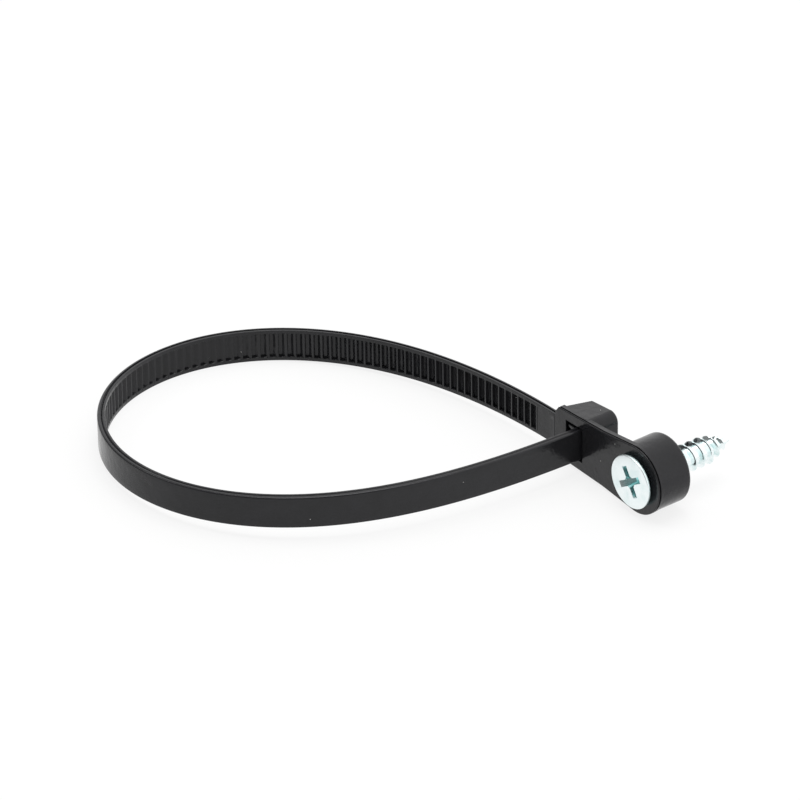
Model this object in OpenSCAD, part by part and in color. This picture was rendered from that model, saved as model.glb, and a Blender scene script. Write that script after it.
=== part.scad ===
// Cable tie with a screw-down head: a toothed strap closed into a loop, its head plate with
// the ratchet box and screw boss, and the wood screw that holds it to a wall.
// The origin is where the screw axis meets the rear of the boss, which lies on the wall.
// +X runs along the plate from the strap to the screw, +Y into the wall, +Z up the strap's width.

/* [Strap] */
// Width of the strap
strap_w = 4.8; // [3.6:0.1:5]
// Thickness of the strap over its rails
strap_t = 1.1; // [1:0.05:1.5]
// Length of the strap from its root to its cut tail
loop_len = 174; // [150:1:200]
// Degrees by which the loop holds back its turning near the head
loop_pinch = 30.7; // [24:0.1:34]
// Degrees by which the loop turns sooner on its root side
loop_skew = 10.7; // [4:0.1:12]
// Degrees by which it evens out again at both ends
loop_sway = 1.2; // [0:0.1:3]
// Height of the smooth rail along each edge
rail_w = 0.5; // [0.3:0.05:0.8]
// Length of one tooth along the strap
tooth_pitch = 1.3; // [1.2:0.05:1.9]
// Depth of the teeth
tooth_depth = 0.45; // [0.2:0.05:0.6]
// Length without teeth next to the root
blank_len = 3.8; // [2:0.1:10]

/* [Head plate] */
// Distance from the strap's root to the screw axis
plate_len = 17.6; // [16.5:0.1:24]
// Height of the plate
plate_h = 8.7; // [8.7:0.1:9.6]
// Thickness of the plate
plate_t = 1.1; // [1:0.1:1.8]
// Height of the plate's left edge, between its chamfers
root_h = 5.8; // [5.2:0.1:7]
// Length of the chamfers at the root
root_chamfer = 1.7; // [1:0.1:1.9]
// Distance from the root to where the plate starts to widen
flare_start = 10.4; // [9:0.1:11]

/* [Ratchet box] */
// Distance from the root to the left side of the box at the plate
box_start = 1.3; // [1:0.1:1.6]
// Amount by which that side leans inward at the rear
box_lean = 1; // [0:0.1:1.1]
// Distance from the root to the right side of the box
box_end = 7.9; // [7.4:0.1:8.8]
// Height of the box
box_h = 8.6; // [7.6:0.1:8.8]
// Depth from the plate's front to the rear of the box
box_depth = 5.2; // [4.6:0.1:5.3]
// Rounding of the two corners of the box nearest the screw
box_round = 1.6; // [0.5:0.1:2]

/* [Slot and pawl] */
// Distance from the root to the slot
slot_start = 2.5; // [2.4:0.1:2.9]
// Length of the slot along the plate
slot_len = 3.4; // [3:0.05:3.6]
// Gap between the strap and the sides of the slot
strap_gap = 0.15; // [0.1:0.01:0.25]
// Gap above and below the strap in the slot
strap_side_gap = 0.2; // [0.15:0.05:0.4]
// Thickness of the pawl
pawl_t = 0.7; // [0.5:0.05:0.9]
// Gap between the pawl and the strap's teeth
pawl_gap = 0.12; // [0.08:0.01:0.2]
// Distance from the rear of the box to the tip of the pawl
pawl_setback = 0.9; // [0.6:0.1:1.4]
// Distance from the rear of the box to the tail's cut end
tail_setback = 0.3; // [0.1:0.1:0.8]

/* [Screw boss] */
// Diameter of the round end of the plate
end_d = 10.4; // [10:0.1:12]
// Amount by which the boss is narrower all round than the plate's end
boss_step = 0.1; // [0.1:0.05:0.4]
// Depth from the plate's front to the rear of the boss
boss_depth = 6; // [5.4:0.1:7]
// Rounding of the boss's rear rim
boss_round = 0.6; // [0.3:0.1:1.2]
// Gap all round between the screw and its bore
bore_gap = 0.2; // [0.1:0.05:0.3]
// Gap between the screw's head and its countersink
seat_gap = 0.05; // [0.02:0.01:0.1]

/* [Screw] */
// Diameter of the screw's head
head_d = 8; // [7.4:0.1:8.4]
// Thickness of the head's rim
head_rim = 0.4; // [0.2:0.05:0.6]
// Distance by which the head stands out of the plate
head_proud = 1; // [0.9:0.05:1.3]
// Diameter over the thread
thread_d = 4.2; // [3.9:0.05:4.4]
// Diameter of the screw's core
core_d = 2.9; // [2.6:0.05:3.1]
// Pitch of the thread
thread_pitch = 1.76; // [1.5:0.01:2]
// Overall length of the screw
screw_len = 18; // [16:0.5:25]
// Length of the screw's tapered point
point_len = 4.4; // [3.5:0.1:5]
// Width of the cross recess over its arms
recess_d = 4.8; // [4:0.1:5]
// Width of one arm of the cross recess
recess_arm = 0.95; // [0.8:0.05:1.1]
// Depth of the cross recess
recess_depth = 2.1; // [1.5:0.1:2.3]
// Turn of the cross recess
recess_turn = 59; // [0:1:89]

/* [Hidden] */

eps = 0.01;
round_fn = 96;
corner_steps = 6;

root_x = -plate_len;
front_y = -boss_depth;
box_rear_y = front_y + box_depth;
end_r = end_d / 2;
boss_r = end_r - boss_step;
bore_r = thread_d / 2 + bore_gap;

// The slot holds the strap against its screw side and the pawl on its root side
slot_h = strap_w + 2 * strap_side_gap;
slot_x = root_x + slot_start;
strap_x = slot_x + slot_len - strap_gap - strap_t / 2;
teeth_x = strap_x - strap_t / 2;

// The countersink follows the underside of the head, which tapers at 45 degrees
cone_r_at_plate = head_d / 2 - (head_proud - head_rim);
sink_r = cone_r_at_plate + seat_gap * sqrt(2);
sink_depth = sink_r - bore_r;

function unit(a) = [cos(a), sin(a)];

// Loop of the strap, seen along -Z: the heading swings from -X at the root, three quarters
// of a turn round, to +Y in the slot. u runs from 0 at the root to 1 at the tail.
function heading(u) = 180 + 270 * u + loop_skew * sin(180 * u) - loop_pinch * sin(360 * u)
                      - loop_sway * sin(540 * u);
function inward(u) = unit(heading(u) + 90);

steps = round(loop_len / tooth_pitch);
step = loop_len / steps;
root_point = [root_x, front_y + strap_t / 2];
tail_point = [strap_x, box_rear_y - tail_setback];
free_path = [
    for (i = 0, p = root_point; i <= steps; i = i + 1, p = p + step * unit(heading((i - 0.5) / steps))) p
];
// What the free path misses the slot by is spread evenly over the strap
miss = tail_point - free_path[steps];
path = [for (i = [0:steps]) free_path[i] + miss * i / steps];

// Point at a share f of step i, off by a distance towards the inside of the loop
function along(i, f, off) =
    path[i] * (1 - f) + path[min(i + 1, steps)] * f + off * inward((i + f) / steps);

first_tooth = ceil(blank_len / step);
// Anchor of the strap inside the plate
anchor = root_chamfer * 0.7;
function anchored(side) = root_point + [anchor, -side * strap_t / 2];

outer_edge = concat([anchored(-1)], [for (i = [0:steps]) along(i, 0, -strap_t / 2)]);
inner_edge = concat([anchored(1)], [for (i = [0:steps]) along(i, 0, strap_t / 2)]);

// Each tooth rises steeply, has a short land, and slopes away towards the tail
tooth_rise = 0.06;
tooth_land = 0.3;
valley = strap_t / 2 - tooth_depth;
toothed_edge = concat(
    [anchored(1)],
    [for (i = [0:first_tooth - 1]) along(i, 0, strap_t / 2)],
    [
        for (i = [first_tooth:steps - 1])
            each [
                along(i, 0, valley),
                along(i, tooth_rise, strap_t / 2),
                along(i, tooth_land, strap_t / 2)
            ]
    ],
    [along(steps, 0, valley)]
);

function reversed(list) = [for (i = [len(list) - 1:-1:0]) list[i]];

// Flat prism between two edges of the strap
module strap_layer(z, h, edge) {
    translate([0, 0, z])
        linear_extrude(h)
            polygon(concat(outer_edge, reversed(edge)));
}

// Toothed strap: two smooth rails with the tooth track between them
module strap() {
    strap_layer(-strap_w / 2, rail_w, inner_edge);
    strap_layer(-strap_w / 2 + rail_w, strap_w - 2 * rail_w, toothed_edge);
    strap_layer(strap_w / 2 - rail_w, rail_w, inner_edge);
}

// Stands an outline drawn in X and Z up, from a depth y, going back
module slab(y, depth) {
    translate([0, y, 0])
        rotate([90, 0, 0])
            translate([0, 0, -depth])
                linear_extrude(depth)
                    children();
}

// Outline of the head plate: chamfered at the root, widening to the round end
module plate_outline() {
    x = flare_start - plate_len;
    z = plate_h / 2;
    reach = norm([x, z]);
    // Direction in which the widening side touches the round end
    touch = atan2(z, x) - acos(end_r / reach);
    upper = [
        [root_x, root_h / 2],
        [root_x + root_chamfer, z],
        [x, z],
        end_r * unit(touch)
    ];
    polygon(concat(upper, [for (p = reversed(upper)) [p[0], -p[1]]]));
    circle(r = end_r, $fn = round_fn);
}

// Face of the ratchet box, rounded on the side of the screw
module box_outline() {
    left = root_x + box_start;
    right = root_x + box_end;
    translate([left, -box_h / 2])
        square([right - box_round - left, box_h]);
    translate([left, -box_h / 2 + box_round])
        square([right - left, box_h - 2 * box_round]);
    for (side = [-1, 1])
        translate([right - box_round, side * (box_h / 2 - box_round)])
            circle(r = box_round, $fn = round_fn / 2);
}

// Ratchet box: its root side leans inward towards the rear
module ratchet_box() {
    left = root_x + box_start;
    y0 = front_y + plate_t / 2;
    difference() {
        slab(y0, box_rear_y - y0)
            box_outline();
        translate([0, 0, -box_h])
            linear_extrude(2 * box_h)
                polygon([
                    [left - box_lean, front_y],
                    [left, front_y],
                    [left + box_lean, box_rear_y],
                    [left + box_lean, box_rear_y + box_depth],
                    [left - box_lean, box_rear_y + box_depth]
                ]);
    }
}

// Screw boss behind the round end, turned about the screw axis, with a rounded rear rim
module boss() {
    y0 = front_y + plate_t / 2;
    rim = [
        for (i = [0:corner_steps])
            [boss_r - boss_round, -boss_round] + boss_round * unit(90 * i / corner_steps)
    ];
    rotate([-90, 0, 0])
        rotate_extrude($fn = round_fn)
            polygon(concat([[0, y0], [boss_r, y0]], rim, [[0, 0]]));
}

// Bore of the boss and the countersink for the screw's head
module screw_hole() {
    rotate([-90, 0, 0]) {
        translate([0, 0, front_y - eps])
            cylinder(r = bore_r, h = boss_depth + 2 * eps, $fn = round_fn);
        translate([0, 0, front_y])
            cylinder(r1 = sink_r, r2 = bore_r, h = sink_depth, $fn = round_fn);
        translate([0, 0, front_y - eps])
            cylinder(r = sink_r, h = 2 * eps, $fn = round_fn);
    }
}

// Slot through the plate and the box
module slot() {
    translate([slot_x, front_y - eps, -slot_h / 2])
        cube([slot_len, box_depth + 2 * eps, slot_h]);
}

// Spring pawl: hinged on the root side of the slot, with two teeth that face the strap's
module pawl() {
    tip_y = box_rear_y - pawl_setback;
    face_x = teeth_x - pawl_gap;
    hinge_y = front_y + plate_t;
    z = strap_w / 2 - rail_w - strap_gap;
    translate([0, 0, -z])
        linear_extrude(2 * z)
            polygon([
                [slot_x - eps, hinge_y],
                [slot_x + pawl_t, hinge_y],
                [face_x, tip_y - step],
                [face_x - tooth_depth, tip_y - step],
                [face_x, tip_y],
                [face_x - pawl_t, tip_y],
                [slot_x - eps, hinge_y + 2 * pawl_t]
            ]);
}

// The whole moulding: strap, plate, box, pawl and boss
module cable_tie() {
    color([0.07, 0.07, 0.08]) {
        strap();
        pawl();
        difference() {
            union() {
                slab(front_y, plate_t)
                    plate_outline();
                ratchet_box();
                boss();
            }
            slot();
            screw_hole();
        }
    }
}

// Screw, drawn with its head's face at z = 0 and its point at z = screw_len.
// The threaded shank is one skin of rings: a ring's radius follows the thread's profile,
// which climbs one pitch for each turn round the axis.
head_cone = head_d / 2 - thread_d / 2;
neck_z = head_rim + head_cone;
sides = 24;
rings_per_pitch = 12;
rings = floor((screw_len - neck_z) / thread_pitch * rings_per_pitch) - 1;
// Shares of the pitch at which the root ends, the crest starts and the crest ends
root_end = 0.46;
crest_start = 0.68;
crest_end = 0.78;

function ring_z(j) = neck_z + thread_pitch * j / rings_per_pitch;
// Height of the thread over the core, from 0 to 1, at a share p of the pitch
function profile(p) =
    p < root_end ? 0
    : p < crest_start ? (p - root_end) / (crest_start - root_end)
    : p < crest_end ? 1
    : (1 - p) / (1 - crest_end);
// The thread runs in below the head, and thread and core run out to the tip
function run_in(z) = min(1, max(0, (z - neck_z) / thread_pitch - 0.3));
function run_out(z) = min(1, (screw_len - z) / point_len);
function skin_r(j, i) =
    let (z = ring_z(j), p = j / rings_per_pitch - i / sides + 1, ridge = profile(p - floor(p)))
    core_d / 2 * pow(run_out(z), 0.8)
    + (thread_d - core_d) / 2 * ridge * run_in(z) * pow(run_out(z), 0.5);

module threaded_shank() {
    skin = [
        for (j = [0:rings])
            for (i = [0:sides - 1])
                [skin_r(j, i) * cos(360 * i / sides), skin_r(j, i) * sin(360 * i / sides), ring_z(j)]
    ];
    tip = len(skin);
    function at(j, i) = j * sides + i % sides;
    walls = [
        for (j = [0:rings - 1])
            for (i = [0:sides - 1])
                each [
                    [at(j, i), at(j + 1, i + 1), at(j, i + 1)],
                    [at(j, i), at(j + 1, i), at(j + 1, i + 1)]
                ]
    ];
    neck_end = [[for (i = [0:sides - 1]) i]];
    point = [for (i = [0:sides - 1]) [at(rings, i), tip, at(rings, i + 1)]];
    polyhedron(concat(skin, [[0, 0, screw_len]]), concat(neck_end, walls, point));
}

// Cross recess: two crossed arms inside a cone
module cross_recess() {
    intersection() {
        translate([0, 0, -eps])
            cylinder(d1 = recess_d, d2 = recess_arm, h = recess_depth + eps, $fn = round_fn / 2);
        for (a = [0, 90])
            rotate(recess_turn + a)
                translate([-recess_d, -recess_arm / 2, -1])
                    cube([2 * recess_d, recess_arm, recess_depth + 2]);
    }
}

module mounting_screw() {
    color([0.78, 0.83, 0.85])
        translate([0, front_y - head_proud, 0])
            rotate([-90, 0, 0]) {
                difference() {
                    union() {
                        cylinder(d = head_d, h = head_rim, $fn = round_fn);
                        translate([0, 0, head_rim])
                            cylinder(d1 = head_d, d2 = thread_d, h = head_cone, $fn = round_fn);
                    }
                    cross_recess();
                }
                threaded_shank();
            }
}

cable_tie();
mounting_screw();
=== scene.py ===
import math

import bmesh
import bpy
from mathutils import Matrix, Vector


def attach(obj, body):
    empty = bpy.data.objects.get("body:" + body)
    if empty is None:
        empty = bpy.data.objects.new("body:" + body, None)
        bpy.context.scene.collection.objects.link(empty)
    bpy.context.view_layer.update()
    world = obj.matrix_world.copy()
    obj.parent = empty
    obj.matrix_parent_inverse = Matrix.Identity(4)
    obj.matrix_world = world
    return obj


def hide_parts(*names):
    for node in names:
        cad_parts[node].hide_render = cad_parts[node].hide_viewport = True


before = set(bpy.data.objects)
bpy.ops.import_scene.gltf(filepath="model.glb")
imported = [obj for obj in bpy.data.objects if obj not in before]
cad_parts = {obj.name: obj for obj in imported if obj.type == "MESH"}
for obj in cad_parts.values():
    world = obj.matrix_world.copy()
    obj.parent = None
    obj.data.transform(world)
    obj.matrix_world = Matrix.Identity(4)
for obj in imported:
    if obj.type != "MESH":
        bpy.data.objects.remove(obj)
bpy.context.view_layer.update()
mm = 0.001

# Camera: it looks at the middle of the loop, from the side of the head's front
photoCamera = {
    "aim": (-37.783 * mm, -17.778 * mm, 0.0),
    "headTurn": 52.432,  # degrees between the plate and the picture's width, seen from above
    "elevation": 30.653,
    "roll": -0.972,
    "distance": 1.0,
    "sensor": 36.0,
    "pixelsPerMm": 7.082,  # at the aim point
    "imageWidth": 800,
}


def addCamera(look):
    turn, rise = math.radians(look["headTurn"]), math.radians(look["elevation"])
    back = Vector((math.sin(turn) * math.cos(rise), -math.cos(turn) * math.cos(rise), math.sin(rise)))
    camData = bpy.data.cameras.new("photoCamera")
    camData.sensor_width = look["sensor"]
    focalPixels = look["pixelsPerMm"] * look["distance"] / mm
    camData.lens = focalPixels / look["imageWidth"] * look["sensor"]
    camData.clip_start, camData.clip_end = 0.01, 20
    cam = bpy.data.objects.new("photoCamera", camData)
    bpy.context.collection.objects.link(cam)
    cam.location = Vector(look["aim"]) + back * look["distance"]
    facing = (-back).to_track_quat("-Z", "Y").to_matrix()
    roll = Matrix.Rotation(math.radians(look["roll"]), 3, "Z")
    cam.rotation_euler = (facing @ roll).to_euler()
    bpy.context.scene.camera = cam


addCamera(photoCamera)
bpy.context.scene.view_settings.view_transform = "Standard"
print("camera placed")


# Materials
def newMaterial(name):
    material = bpy.data.materials.new(name)
    material.use_nodes = True
    nodes, links = material.node_tree.nodes, material.node_tree.links
    shader = nodes["Principled BSDF"]
    coords = nodes.new("ShaderNodeTexCoord")
    return material, nodes, links, shader, coords


def noiseOn(nodes, links, coords, scale, detail=3.0, rough=0.55):
    noise = nodes.new("ShaderNodeTexNoise")
    noise.inputs["Scale"].default_value = scale
    noise.inputs["Detail"].default_value = detail
    noise.inputs["Roughness"].default_value = rough
    links.new(coords.outputs["Object"], noise.inputs["Vector"])
    return noise


def rangeOf(nodes, links, socket, low, high, fromLow=0.3, fromHigh=0.7):
    ramp = nodes.new("ShaderNodeMapRange")
    ramp.inputs["From Min"].default_value = fromLow
    ramp.inputs["From Max"].default_value = fromHigh
    ramp.inputs["To Min"].default_value = low
    ramp.inputs["To Max"].default_value = high
    links.new(socket, ramp.inputs["Value"])
    return ramp.outputs["Result"]


def mathNode(nodes, links, operation, first, second):
    node = nodes.new("ShaderNodeMath")
    node.operation = operation
    for i, value in enumerate((first, second)):
        if isinstance(value, (int, float)):
            node.inputs[i].default_value = value
        else:
            links.new(value, node.inputs[i])
    return node.outputs["Value"]


def mixColour(nodes, links, factor, first, second):
    mix = nodes.new("ShaderNodeMix")
    mix.data_type = "RGBA"
    links.new(factor, mix.inputs["Factor"])
    for name, value in (("A", first), ("B", second)):
        socket = next(s for s in mix.inputs if s.name == name and s.type == "RGBA")
        if isinstance(value, tuple):
            socket.default_value = value
        else:
            links.new(value, socket)
    return next(s for s in mix.outputs if s.type == "RGBA")


def fineBump(nodes, links, shader, layers):
    # Layers of (height, strength, distance), each laid over the one before
    normal = None
    for height, strength, distance in layers:
        bump = nodes.new("ShaderNodeBump")
        bump.inputs["Strength"].default_value = strength
        bump.inputs["Distance"].default_value = distance
        links.new(height, bump.inputs["Height"])
        if normal:
            links.new(normal, bump.inputs["Normal"])
        normal = bump.outputs["Normal"]
    links.new(normal, shader.inputs["Normal"])


nylonLook = {
    "black": (0.011, 0.011, 0.012, 1),
    "paler": (0.021, 0.021, 0.024, 1),
    "dust": (0.55, 0.54, 0.52, 1),
    "roughLow": 0.14,
    "roughHigh": 0.25,
    "specular": 0.27,
    "ior": 1.53,
    "grainScale": 4200.0,  # per metre, the fine grain of the mould
    "grainBump": (0.12, 0.02 * mm),  # strength and depth
    "patchScale": 900.0,  # soft dimples, about a millimetre across
    "patchBump": (1.0, 0.05 * mm),
    "flowScale": 300.0,  # slow patches where the melt ran
    "speckScale": 640.0,  # one dust speck at most to each cell of this size
    "speckShare": 0.22,
    "speckSize": 0.042,
}


def blackNylon(look):
    material, nodes, links, shader, coords = newMaterial("blackNylon")
    flow = noiseOn(nodes, links, coords, look["flowScale"])
    grain = noiseOn(nodes, links, coords, look["grainScale"], detail=4.0, rough=0.6)
    tone = mixColour(nodes, links, flow.outputs["Fac"], look["black"], look["paler"])
    # Sparse dust: small round specks in a few of the cells
    cells = nodes.new("ShaderNodeTexVoronoi")
    cells.inputs["Scale"].default_value = look["speckScale"]
    links.new(coords.outputs["Object"], cells.inputs["Vector"])
    split = nodes.new("ShaderNodeSeparateColor")
    links.new(cells.outputs["Color"], split.inputs["Color"])
    near = mathNode(nodes, links, "LESS_THAN", cells.outputs["Distance"], look["speckSize"])
    chosen = mathNode(nodes, links, "LESS_THAN", split.outputs["Red"], look["speckShare"])
    speck = mathNode(nodes, links, "MULTIPLY", near, chosen)
    links.new(mixColour(nodes, links, speck, tone, look["dust"]), shader.inputs["Base Color"])
    links.new(rangeOf(nodes, links, flow.outputs["Fac"], look["roughLow"], look["roughHigh"]),
              shader.inputs["Roughness"])
    shader.inputs["IOR"].default_value = look["ior"]
    shader.inputs["Specular IOR Level"].default_value = look["specular"]
    patches = noiseOn(nodes, links, coords, look["patchScale"], detail=2.0)
    fineBump(nodes, links, shader, [(patches.outputs["Fac"], *look["patchBump"]),
                                    (grain.outputs["Fac"], *look["grainBump"])])
    return material


zincLook = {
    "pale": (0.90, 0.965, 0.97, 1),
    "teal": (0.70, 0.84, 0.84, 1),
    "tealFrom": 0.48,  # level of the patches' noise where the teal begins
    "tealTo": 0.8,
    "deep": (0.58, 0.86, 0.86, 1),  # painted shade in the recess: a darker, deeper teal standing for its shade and its walls' reflections of each other, laid over the plating's own teal
    "recessShadeFrom": -6.95 * mm,
    "recessShadeTo": -6.3 * mm,
    "recessShadeEnd": -4.8 * mm,
    "roughLow": 0.20,
    "roughHigh": 0.34,
    "patchScale": 420.0,
    "grainScale": 9000.0,
    "grainBump": (0.15, 0.02 * mm),
}
threadLook = dict(zincLook, roughLow=0.09, roughHigh=0.20, teal=(0.52, 0.72, 0.72, 1), patchScale=700.0)


def zincPlate(name, look):
    material, nodes, links, shader, coords = newMaterial(name)
    patches = noiseOn(nodes, links, coords, look["patchScale"])
    grain = noiseOn(nodes, links, coords, look["grainScale"], detail=4.0, rough=0.65)
    share = rangeOf(nodes, links, patches.outputs["Fac"], 0.0, 1.0, look["tealFrom"], look["tealTo"])
    plain = mixColour(nodes, links, share, look["pale"], look["teal"])
    place = nodes.new("ShaderNodeSeparateXYZ")
    links.new(coords.outputs["Object"], place.inputs[0])
    # Painted shade: by depth along the screw axis, the head's recess takes the darker teal that stands for
    # its shade and its walls' reflections of each other
    sunk = rangeOf(nodes, links, place.outputs["Y"], 0.0, 1.0, look["recessShadeFrom"], look["recessShadeTo"])
    inHead = mathNode(nodes, links, "LESS_THAN", place.outputs["Y"], look["recessShadeEnd"])
    paintedRecessShade = mathNode(nodes, links, "MULTIPLY", sunk, inHead)
    links.new(mixColour(nodes, links, paintedRecessShade, plain, look["deep"]), shader.inputs["Base Color"])
    links.new(rangeOf(nodes, links, grain.outputs["Fac"], look["roughLow"], look["roughHigh"]),
              shader.inputs["Roughness"])
    shader.inputs["Metallic"].default_value = 1.0
    fineBump(nodes, links, shader, [(grain.outputs["Fac"], *look["grainBump"])])
    return material


nylon = blackNylon(nylonLook)
headZinc = zincPlate("headZinc", zincLook)
threadZinc = zincPlate("threadZinc", threadLook)
print("materials made")


# Helpers for every moulded or turned piece
crisp = math.radians(35)  # edges bent by more than this stay crisp


def finishMesh(bm, name, material, replaced):
    bmesh.ops.recalc_face_normals(bm, faces=bm.faces[:])
    for face in bm.faces:
        face.smooth = True
    for edge in bm.edges:
        edge.smooth = len(edge.link_faces) == 2 and edge.calc_face_angle(0) < crisp
    mesh = bpy.data.meshes.new(name)
    bm.to_mesh(mesh)
    bm.free()
    piece = bpy.data.objects.new(name, mesh)
    bpy.context.collection.objects.link(piece)
    mesh.materials.append(material)
    weighted = piece.modifiers.new("flatFaces", "WEIGHTED_NORMAL")
    weighted.keep_sharp = True
    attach(piece, "root")
    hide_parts(replaced)
    return piece


def arc(centre, radius, startDeg, endDeg, steps):
    angles = (math.radians(startDeg + (endDeg - startDeg) * i / steps) for i in range(steps + 1))
    return [(centre[0] + radius * math.cos(a), centre[1] + radius * math.sin(a)) for a in angles]


def wire(bm, points, closed=True):
    verts = [bm.verts.new(p) for p in points]
    edges = [bm.edges.new((verts[i], verts[i + 1])) for i in range(len(verts) - 1)]
    if closed:
        edges.append(bm.edges.new((verts[-1], verts[0])))
    return verts, edges


def loft(rings):
    # Skins a row of closed rings, all with the same count of points, and caps both ends
    bm = bmesh.new()
    ring, edges = wire(bm, rings[0])
    bm.faces.new(ring)
    for points in rings[1:]:
        place = {v: i for i, v in enumerate(ring)}
        made = bmesh.ops.extrude_edge_only(bm, edges=edges)["geom"]
        ring = [None] * len(points)
        for v in (g for g in made if isinstance(g, bmesh.types.BMVert)):
            i = next(place[e.other_vert(v)] for e in v.link_edges if e.other_vert(v) in place)
            v.co = points[i]
            ring[i] = v
        made = (g for g in made if isinstance(g, bmesh.types.BMEdge))
        edges = [e for e in made if not any(v in place for v in e.verts)]
    bm.faces.new(ring)
    bmesh.ops.recalc_face_normals(bm, faces=bm.faces[:])
    return bm


def inwards(outline, amount):
    # Moves each side of a clockwise outline inwards by the amount
    moved = []
    for i, p in enumerate(outline):
        before = Vector(p) - Vector(outline[i - 1])
        after = Vector(outline[(i + 1) % len(outline)]) - Vector(p)
        first, second = (Vector((d.y, -d.x)).normalized() for d in (before, after))
        moved.append(tuple(Vector(p) + (first + second) * amount / (1 + first.dot(second))))
    return moved


def slabOf(outline, levels):
    # Outline in X and Z, drawn through levels of (y, inset)
    return loft([[(x, y, z) for x, z in inwards(outline, inset)] for y, inset in levels])


def roundEdges(bm, edges, radius, segments=4):
    bmesh.ops.bevel(bm, geom=edges, offset=radius, segments=segments, profile=0.5, affect="EDGES",
                    clamp_overlap=True, material=-1)


def edgesAt(bm, y):
    level = [e for e in bm.edges if all(abs(v.co.y - y) < 1e-6 for v in e.verts)]
    return [e for e in level if e.calc_face_angle(0) > crisp]


def turned(profile, steps):
    # Closed profile of (radius, y), spun round the screw axis
    bm = bmesh.new()
    verts, edges = wire(bm, [(r, y, 0) for r, y in profile])
    bmesh.ops.spin(bm, geom=verts + edges, cent=(0, 0, 0), axis=(0, 1, 0), angle=2 * math.pi,
                   steps=steps, use_merge=True)
    bmesh.ops.remove_doubles(bm, verts=bm.verts[:], dist=1e-7)
    bmesh.ops.dissolve_degenerate(bm, edges=bm.edges[:], dist=1e-8)
    bmesh.ops.recalc_face_normals(bm, faces=bm.faces[:])
    return bm


def asObject(bm, name):
    mesh = bpy.data.meshes.new(name)
    bm.to_mesh(mesh)
    bm.free()
    obj = bpy.data.objects.new(name, mesh)
    bpy.context.collection.objects.link(obj)
    return obj


def carve(bm, added, removed):
    # Joins the added shapes to the piece, then takes the removed ones out of it
    body = asObject(bm, "carveBody")
    tools = []
    for operation, shapes in (("UNION", added), ("DIFFERENCE", removed)):
        for shape in shapes:
            tools.append(asObject(shape, "carveTool"))
            cut = body.modifiers.new("cut", "BOOLEAN")
            cut.operation, cut.solver, cut.object = operation, "EXACT", tools[-1]
    carved = body.evaluated_get(bpy.context.evaluated_depsgraph_get())
    result = bmesh.new()
    result.from_mesh(carved.to_mesh())
    carved.to_mesh_clear()
    for obj in [body] + tools:
        mesh = obj.data
        bpy.data.objects.remove(obj)
        bpy.data.meshes.remove(mesh)
    bmesh.ops.remove_doubles(result, verts=result.verts[:], dist=1e-6)
    bmesh.ops.dissolve_degenerate(result, edges=result.edges[:], dist=1e-7)
    return result


# Head: a plate that ends round, with the ratchet box and the screw boss behind it
plate = {
    "rootX": -17.6 * mm,
    "frontY": -6.0 * mm,
    "thick": 1.1 * mm,
    "halfHeight": 4.42 * mm,
    "rootHalf": 3.05 * mm,
    "cornerX": -16.85 * mm,
    "cornerHalf": 4.0 * mm,
    "flareStart": -7.2 * mm,
    "endR": 5.19 * mm,
    "rim": 0.13 * mm,
    # Fine groove where the mould's halves met, and a ridge behind it, as (distance from the front, depth)
    "groove": [(0.15 * mm, 0.0), (0.17 * mm, 0.24 * mm), (0.39 * mm, 0.24 * mm), (0.41 * mm, 0.01 * mm),
               (0.44 * mm, 0.0), (0.62 * mm, 0.03 * mm)],
}
box = {
    "left": -16.8 * mm,
    "leftHalf": 3.93 * mm,
    "lean": 1.5 * mm,
    "right": -9.7 * mm,
    "halfHeight": 4.26 * mm,
    "corner": 1.6 * mm,
    "rearY": -0.8 * mm,
    "rim": 0.5 * mm,
}
slot = {
    "left": -15.1 * mm,
    "right": -11.7 * mm,
    "halfHeight": 2.6 * mm,
    "lip": 0.12 * mm,
}
boss = {
    "radius": 5.1 * mm,
    "corner": 0.6 * mm,
    "bore": 2.3 * mm,
    "sinkR": 3.47 * mm,
    "steps": 96,
}
plateRear = plate["frontY"] + plate["thick"]


def plateOutline():
    x, z, r = plate["flareStart"], plate["halfHeight"], plate["endR"]
    touch = math.degrees(math.atan2(z, x) - math.acos(r / math.hypot(x, z)))
    upper = [(plate["rootX"], plate["rootHalf"]), (plate["cornerX"], plate["cornerHalf"]), (x, z)]
    return upper + arc((0, 0), r, touch, -touch, 48) + [(px, -pz) for px, pz in reversed(upper)]


def plateShape():
    groove = [(plate["frontY"] + y, depth) for y, depth in plate["groove"]]
    bm = slabOf(plateOutline(), [(plate["frontY"], 0.0)] + groove + [(plateRear, plate["groove"][-1][1])])
    roundEdges(bm, edgesAt(bm, plate["frontY"]), plate["rim"])
    return bm


def boxShape():
    h, c, left, right = box["halfHeight"], box["corner"], box["left"], box["right"]
    outline = [(left, -box["leftHalf"])] + arc((right - c, -h + c), c, -90, 0, 10)
    outline += arc((right - c, h - c), c, 0, 90, 10) + [(left, box["leftHalf"])]
    y0 = plate["frontY"] + plate["thick"] / 2
    bm = slabOf(outline[::-1], [(y0, 0.0), (box["rearY"], 0.0)])
    for v in bm.verts:
        if abs(v.co.x - left) < 1e-7:
            v.co.x += box["lean"] * (v.co.y - plate["frontY"]) / (box["rearY"] - plate["frontY"])
    roundEdges(bm, edgesAt(bm, box["rearY"]), box["rim"])
    return bm


def bossShape():
    r, c = boss["radius"], boss["corner"]
    y0 = plate["frontY"] + plate["thick"] / 2
    return turned([(0, y0), (r, y0)] + arc((r - c, -c), c, 0, 90, 8) + [(0, 0)], boss["steps"])


def slotCutter():
    # Opens out at both ends, so that the slot's lips are broken
    out, lip, half = mm, slot["lip"], slot["halfHeight"]
    front, rear = plate["frontY"], box["rearY"]
    corners = [(slot["left"], half), (slot["right"], half), (slot["right"], -half), (slot["left"], -half)]
    return slabOf(corners, [(front - out, -lip - out), (front + lip, 0.0),
                            (rear - lip, 0.0), (rear + out, -lip - out)])


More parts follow.
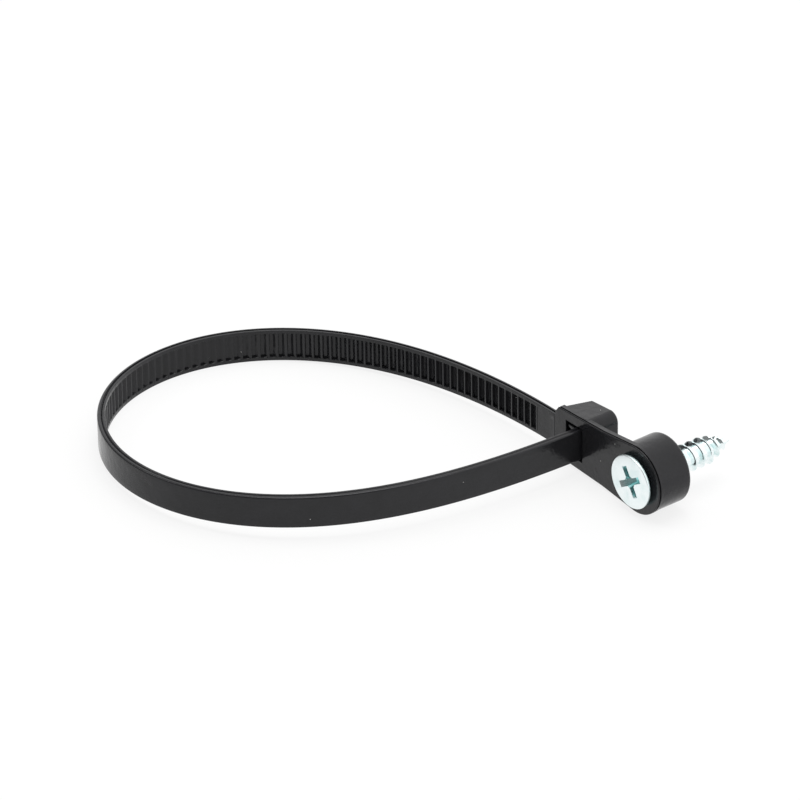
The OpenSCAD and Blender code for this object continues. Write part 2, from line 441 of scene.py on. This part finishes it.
def holeCutter():
    sinkDepth = boss["sinkR"] - boss["bore"]
    front = plate["frontY"]
    return turned([(0, front - mm), (boss["sinkR"] + mm, front - mm), (boss["bore"], front + sinkDepth),
                   (boss["bore"], mm), (0, mm)], boss["steps"])


def makeHead():
    bm = carve(plateShape(), [boxShape(), bossShape()], [slotCutter(), holeCutter()])
    return finishMesh(bm, "tie_head", nylon, "cable_tie")


pawl = {
    "tipSetback": 0.9 * mm,
    "thick": 0.7 * mm,
    "faceX": -13.07 * mm,
    "step": 1.3 * mm,
    "bite": 0.45 * mm,
    "halfHeight": 1.75 * mm,
    "sunk": 0.3 * mm,  # how far its foot reaches into the slot's wall
    "edge": 0.06 * mm,
    # Two arms at its foot, which show in the slot beside the strap
    "arm": [(-14.95 * mm, -5.74 * mm), (-13.4 * mm, -5.74 * mm),
            (-13.55 * mm, -4.6 * mm), (-14.95 * mm, -4.6 * mm)],
    "armFrom": 1.5 * mm,
    "armTo": 2.0 * mm,
}


def makePawl():
    tipY = box["rearY"] - pawl["tipSetback"]
    root, face = slot["left"] - pawl["sunk"], pawl["faceX"]
    outline = [(root, plateRear), (slot["left"] + pawl["thick"], plateRear), (face, tipY - pawl["step"]),
               (face - pawl["bite"], tipY - pawl["step"]), (face, tipY), (face - pawl["thick"], tipY),
               (slot["left"], plateRear + 2 * pawl["thick"]), (root, plateRear + 2 * pawl["thick"])]
    shapes = (("ratchet_pawl", outline, -pawl["halfHeight"], pawl["halfHeight"]),
              ("pawl_arm_upper", pawl["arm"], pawl["armFrom"], pawl["armTo"]),
              ("pawl_arm_lower", pawl["arm"], -pawl["armTo"], -pawl["armFrom"]))
    for name, around, low, high in shapes:
        bm = loft([[(x, y, z) for x, y in around] for z in (low, high)])
        roundEdges(bm, bm.edges[:], pawl["edge"], segments=2)
        finishMesh(bm, name, nylon, "cable_tie")


makeHead()
makePawl()
print("head made")


# Strap: modelled straight, then bent round the loop by the rule that the solid follows
strap = {
    "crown": 2.46 * mm,  # half the width at the widest place
    "track": 1.9 * mm,  # half the width of the toothed track
    "trackEdge": 0.05 * mm,
    "midPoint": 0.6,  # share of the half width where each flat has one more point
    "thick": 1.1 * mm,
    "inner": 0.535 * mm,  # the toothed face, from the middle of the thickness
    "outer": 0.54 * mm,
    "length": 174 * mm,
    "teeth": 134,  # steps of the tooth pitch over the whole length
    "blankTeeth": 3,
    "toothDepth": 0.45 * mm,
    "outerRound": 0.24 * mm,
    "outerTilt": 15.0,
    "innerRound": 0.05 * mm,
    # Both edges step down at the parting line and slope off outwards, as (distance from the outer face, drop)
    "side": [(1.0 * mm, 0.0), (0.78 * mm, 0.0), (0.55 * mm, 0.22 * mm), (0.46 * mm, 0.22 * mm),
             (0.44 * mm, 0.01 * mm), (0.41 * mm, 0.0), (0.20 * mm, 0.05 * mm)],
    "sinkMark": 0.010 * mm,  # faint waves that the teeth leave on the outer face near the head
    "sinkTeeth": 30,
    # Scar across the strap where the mould's inserts met, as (distance from the root, height)
    "scar": [(0.08 * mm, 0.0), (0.18 * mm, 0.05 * mm), (0.25 * mm, 0.05 * mm), (0.36 * mm, 0.0)],
    # One tooth from its steep wall on, as (share of the pitch, share of the depth)
    "tooth": [(0.0, 1.0), (0.035, 0.14), (0.06, 0.0), (0.18, 0.0), (0.22, 0.05), (0.42, 0.5), (0.62, 0.95),
              (0.67, 1.0), (0.85, 1.0)],
    "pinch": 30.7,
    "skew": 10.7,
    "sway": 1.2,
    "tailX": -12.4 * mm,
    "tailY": -1.1 * mm,
    "anchor": 1.0 * mm,  # how far the strap runs on inside the plate
    "anchorSize": 0.9,
    "finer": 8,  # path points to each tooth
}


def heading(u):
    return math.radians(180 + 270 * u + strap["skew"] * math.sin(math.pi * u)
                        - strap["pinch"] * math.sin(2 * math.pi * u)
                        - strap["sway"] * math.sin(3 * math.pi * u))


def loopPath():
    count = strap["teeth"] * strap["finer"]
    step = strap["length"] / count
    points = [Vector((plate["rootX"], plate["frontY"] + strap["thick"] / 2))]
    for i in range(count):
        a = heading((i + 0.5) / count)
        points.append(points[-1] + step * Vector((math.cos(a), math.sin(a))))
    miss = Vector((strap["tailX"], strap["tailY"])) - points[-1]
    return [p + miss * i / count for i, p in enumerate(points)]


def bendAlong(path, s, n, z):
    count = len(path) - 1
    place = s / strap["length"] * count
    i = min(max(math.floor(place), 0), count - 1)
    spot = path[i].lerp(path[i + 1], place - i) if place > 0 else path[0] + Vector((-s, 0))
    a = heading(min(max(s / strap["length"], 0), 1)) + math.pi / 2
    return Vector((spot.x + n * math.cos(a), spot.y + n * math.sin(a), z))


def strapSection(depth, wave=0.0, size=1.0):
    # Points (n, z) round the strap, from the middle of the tooth track, which lies sunk by depth
    t, back, w, track = strap["inner"], -strap["outer"], strap["crown"], strap["track"]
    ro, ri, tilt = strap["outerRound"], strap["innerRound"], strap["outerTilt"]
    side = [(back + n, w - drop) for n, drop in strap["side"]]
    lowest = side[-1][1] - ro * math.cos(math.radians(tilt))
    soft, mid = strap["trackEdge"], strap["midPoint"]
    upper = [(t - depth, 0.0), (t - depth, track * mid), (t - depth, track - soft)]
    upper.append((t - min(depth, soft), track))
    upper += [(t, track + soft)] + arc((t - ri, side[0][1] - ri), ri, 0, 80, 3)
    upper += side[:-1] + arc((back + ro, lowest), ro, 90 + tilt, 180, 5)
    upper += [(back + wave, w * mid), (back + wave, 0.0)]
    ring = upper + [(n, -z) for n, z in reversed(upper[1:-1])]
    return [(n * size, z * size) for n, z in ring]


def strapStations():
    # Each as (distance along the strap, depth of the track, wave of the outer face, size)
    pitch, deep, blank = strap["length"] / strap["teeth"], strap["toothDepth"], strap["blankTeeth"]
    stations = [(-strap["anchor"], 0.0, 0.0, strap["anchorSize"]), (0.0, 0.0, 0.0, 1.0)]
    stations += [(s, -rise, 0.0, 1.0) for s, rise in strap["scar"]]
    stations += [(i * pitch, 0.0, 0.0, 1.0) for i in range(1, blank)]
    stations.append((blank * pitch - strap["trackEdge"], 0.0, 0.0, 1.0))
    for i in range(blank, strap["teeth"]):
        fade = max(0.0, 1 - (i - blank) / strap["sinkTeeth"])
        for f, share in strap["tooth"]:
            wave = fade * strap["sinkMark"] * math.sin(2 * math.pi * f)
            stations.append(((i + f) * pitch, share * deep, wave, 1.0))
    return stations + [(strap["length"], deep, 0.0, 1.0)]


def makeStrap():
    path = loopPath()
    bm = loft([[bendAlong(path, s, n, z) for n, z in strapSection(depth, wave, size)]
               for s, depth, wave, size in strapStations()])
    return finishMesh(bm, "toothed_strap", nylon, "cable_tie")


makeStrap()
print("strap made")


# Screw: countersunk cross head, and a shank whose thread runs out to a gimlet point
screw = {
    "faceY": -7.0 * mm,
    "headR": 4.0 * mm,
    "rim": 0.4 * mm,
    "rimRound": 0.1 * mm,
    "threadR": 2.1 * mm,
    "coreR": 1.45 * mm,
    "pitch": 1.5 * mm,
    "lead": 0.6 * mm,  # turns the thread so that its crests stand where the photo shows them
    "tipY": 11.0 * mm,
    "tipFlat": 0.03 * mm,
    "pointLength": 4.4 * mm,
    "coreTaper": 0.8,  # how fast the core and the thread narrow over the point
    "threadTaper": 0.5,
    "riseFrom": 0.3,  # share of a pitch past the neck where the thread begins to rise
    "neckSunk": 0.4 * mm,
    "turnSteps": 64,
}
recess = {
    "radius": 2.2 * mm,
    "arm": 1.0 * mm,
    "depth": 2.1 * mm,
    "turn": 59.0,
    "over": 0.5 * mm,  # how far the cutters stand out of the face
    "armMouth": 1.05,  # shares of the arm's width, for its mouth and its bottom
    "armTaper": 0.6,
    "armFoot": 0.9,  # half the arms' length at the bottom, as a share of their width
    "coneR": 0.95,  # shares of the arm's width and of the depth, for the cone in the middle
    "coneDeep": 1.1,
    "coneFoot": 0.55,
    "coneTip": 0.3 * mm,
}
neckY = screw["faceY"] + screw["rim"] + screw["headR"] - screw["threadR"]


def recessCutters():
    # Two crossed arms that narrow as they go in, and a cone where they meet
    shapes = []
    face, arm, depth, over = screw["faceY"], recess["arm"], recess["depth"], recess["over"]
    for quarter in (0, 90):
        bm = bmesh.new()
        bmesh.ops.create_cube(bm, size=1)
        for v in bm.verts:
            deep = v.co.y > 0
            length = arm * recess["armFoot"] if deep else recess["radius"] * (1 + over / depth)
            width = arm / 2 * (recess["armTaper"] if deep else recess["armMouth"])
            v.co = Vector((math.copysign(length, v.co.x), face + (depth if deep else -over),
                           math.copysign(width, v.co.z)))
        bmesh.ops.rotate(bm, verts=bm.verts[:], cent=(0, 0, 0),
                         matrix=Matrix.Rotation(math.radians(recess["turn"] + quarter), 3, "Y"))
        shapes.append(bm)
    r, foot = arm * recess["coneR"], recess["coneFoot"]
    y0, y1 = face - over, face + depth * recess["coneDeep"]
    shapes.append(turned([(0, y0), (r, y0), (r, face), (r * foot, y1 - recess["coneTip"]), (0, y1)], 32))
    return shapes


def makeScrewHead():
    r, c, y = screw["headR"], screw["rimRound"], screw["faceY"]
    profile = [(0, y)] + list(reversed(arc((r - c, y + c), c, 0, -90, 4)))
    profile += [(r, y + screw["rim"]), (screw["threadR"], neckY), (0, neckY)]
    bm = carve(turned(profile, 96), [], recessCutters())
    return finishMesh(bm, "screw_head", headZinc, "mounting_screw")


def threadProfile():
    # One pitch of the thread, as (share of the pitch, share of the thread's height)
    return [(0.0, 0.0), (0.12, 0.0), (0.30, 0.0), (0.46, 0.02), (0.55, 0.38), (0.64, 0.82), (0.68, 0.96),
            (0.70, 1.0), (0.76, 1.0), (0.78, 0.96), (0.84, 0.72), (0.93, 0.3), (1.0, 0.0)]


def makeThread():
    p, core, height = screw["pitch"], screw["coreR"], screw["threadR"] - screw["coreR"]
    start = neckY - 2 * p + screw["lead"]
    turns = math.ceil((screw["tipY"] - start) / p) + 1
    bm = bmesh.new()
    points = [(0, start + share * p, core + h * height) for share, h in threadProfile()]
    verts, edges = wire(bm, points, closed=False)
    steps = screw["turnSteps"] * turns
    bmesh.ops.spin(bm, geom=verts + edges, cent=(0, 0, 0), axis=(0, 1, 0), angle=2 * math.pi * turns,
                   steps=steps, dvec=(0, p / screw["turnSteps"], 0))
    bmesh.ops.remove_doubles(bm, verts=bm.verts[:], dist=1e-6)
    for v in bm.verts:
        left = min(1.0, max(0.0, (screw["tipY"] - v.co.y) / screw["pointLength"]))
        entry = min(1.0, max(0.0, (v.co.y - neckY) / p - screw["riseFrom"]))
        r = math.hypot(v.co.x, v.co.z)
        target = core * left ** screw["coreTaper"] + (r - core) * entry * left ** screw["threadTaper"]
        v.co.x, v.co.z = v.co.x * target / r, v.co.z * target / r
    for y, side in ((neckY - screw["neckSunk"], -1), (screw["tipY"] - screw["tipFlat"], 1)):
        cut = bmesh.ops.bisect_plane(bm, geom=bm.verts[:] + bm.edges[:] + bm.faces[:], dist=1e-7,
                                     plane_co=(0, y, 0), plane_no=(0, side, 0), clear_outer=True)
        rim = [e for e in cut["geom_cut"] if isinstance(e, bmesh.types.BMEdge)]
        bmesh.ops.contextual_create(bm, geom=rim)
    return finishMesh(bm, "screw_thread", threadZinc, "mounting_screw")


makeScrewHead()
makeThread()
print("screw made")


# Floor, which the round end and the far side of the loop touch, and a plain studio
studio = {
    "floorZ": -5.18 * mm,  # under the screw axis
    "slopeX": -0.04344,  # the head is deeper than the strap, so the part leans this much
    "slopeY": 0.00436,
    "floorSize": 3.0,
    "floorColour": (0.92, 0.92, 0.915, 1),
    "floorMottle": 1.01,  # how much paler its patches are
    "floorRough": 0.9,
    "floorScale": 40.0,
    "floorGlow": 0.82,  # share of plain white that the camera sees on the floor
    "floorShine": 0.92,  # the same for reflections
    "worldColour": (1.0, 1.0, 1.0, 1),
    "worldBack": 1.2,  # levels of light from behind and from the photographer's side
    "worldFront": 0.22,
    "worldFrom": -0.2,  # where the one passes into the other, by the direction's Y
    "worldTo": 0.25,
    # Softboxes, as (place, width, power)
    "lamps": [((-0.03, -0.01, 0.55), 0.34, 1.5), ((-0.38, -0.335, 0.52), 0.22, 0.6)],
    "lampAim": (-0.03, -0.02, 0),
}


def makeFloor():
    bm = bmesh.new()
    bmesh.ops.create_grid(bm, x_segments=1, y_segments=1, size=studio["floorSize"] / 2)
    for v in bm.verts:
        v.co.z = studio["floorZ"] + studio["slopeX"] * v.co.x + studio["slopeY"] * v.co.y
    mesh = bpy.data.meshes.new("floor")
    bm.to_mesh(mesh)
    bm.free()
    floor = bpy.data.objects.new("floor", mesh)
    bpy.context.collection.objects.link(floor)
    material, nodes, links, shader, coords = newMaterial("paleFloor")
    grain = noiseOn(nodes, links, coords, studio["floorScale"])
    shader.inputs["Roughness"].default_value = studio["floorRough"]
    shader.inputs["Specular IOR Level"].default_value = 0.0
    paler = tuple(min(1.0, c * studio["floorMottle"]) for c in studio["floorColour"])
    tone = mixColour(nodes, links, grain.outputs["Fac"], studio["floorColour"], paler)
    links.new(tone, shader.inputs["Base Color"])
    glow = nodes.new("ShaderNodeEmission")
    path = nodes.new("ShaderNodeLightPath")
    direct = mathNode(nodes, links, "MULTIPLY", path.outputs["Is Camera Ray"], studio["floorGlow"])
    mirrored = mathNode(nodes, links, "MULTIPLY", path.outputs["Is Glossy Ray"], studio["floorShine"])
    seen = mathNode(nodes, links, "MAXIMUM", direct, mirrored)
    mixed = nodes.new("ShaderNodeMixShader")
    links.new(seen, mixed.inputs[0])
    links.new(shader.outputs[0], mixed.inputs[1])
    links.new(glow.outputs[0], mixed.inputs[2])
    links.new(mixed.outputs[0], nodes["Material Output"].inputs["Surface"])
    mesh.materials.append(material)


def makeWorld():
    world = bpy.data.worlds.new("studio")
    bpy.context.scene.world = world
    world.use_nodes = True
    nodes, links = world.node_tree.nodes, world.node_tree.links
    background = nodes["Background"]
    background.inputs["Color"].default_value = studio["worldColour"]
    coords = nodes.new("ShaderNodeTexCoord")
    split = nodes.new("ShaderNodeSeparateXYZ")
    links.new(coords.outputs["Generated"], split.inputs[0])
    # Dim towards the photographer's side, bright behind
    level = rangeOf(nodes, links, split.outputs["Y"], studio["worldFront"], studio["worldBack"],
                    studio["worldFrom"], studio["worldTo"])
    path = nodes.new("ShaderNodeLightPath")
    seen = mathNode(nodes, links, "MAXIMUM", path.outputs["Is Camera Ray"], level)
    links.new(seen, background.inputs["Strength"])


def makeLamps():
    for place, width, power in studio["lamps"]:
        data = bpy.data.lights.new("softBox", "AREA")
        data.energy, data.size = power, width
        lamp = bpy.data.objects.new("softBox", data)
        lamp.location = place
        aim = Vector(studio["lampAim"]) - lamp.location
        lamp.rotation_euler = aim.to_track_quat("-Z", "Y").to_euler()
        bpy.context.collection.objects.link(lamp)


makeFloor()
makeWorld()
makeLamps()
print("studio lit")
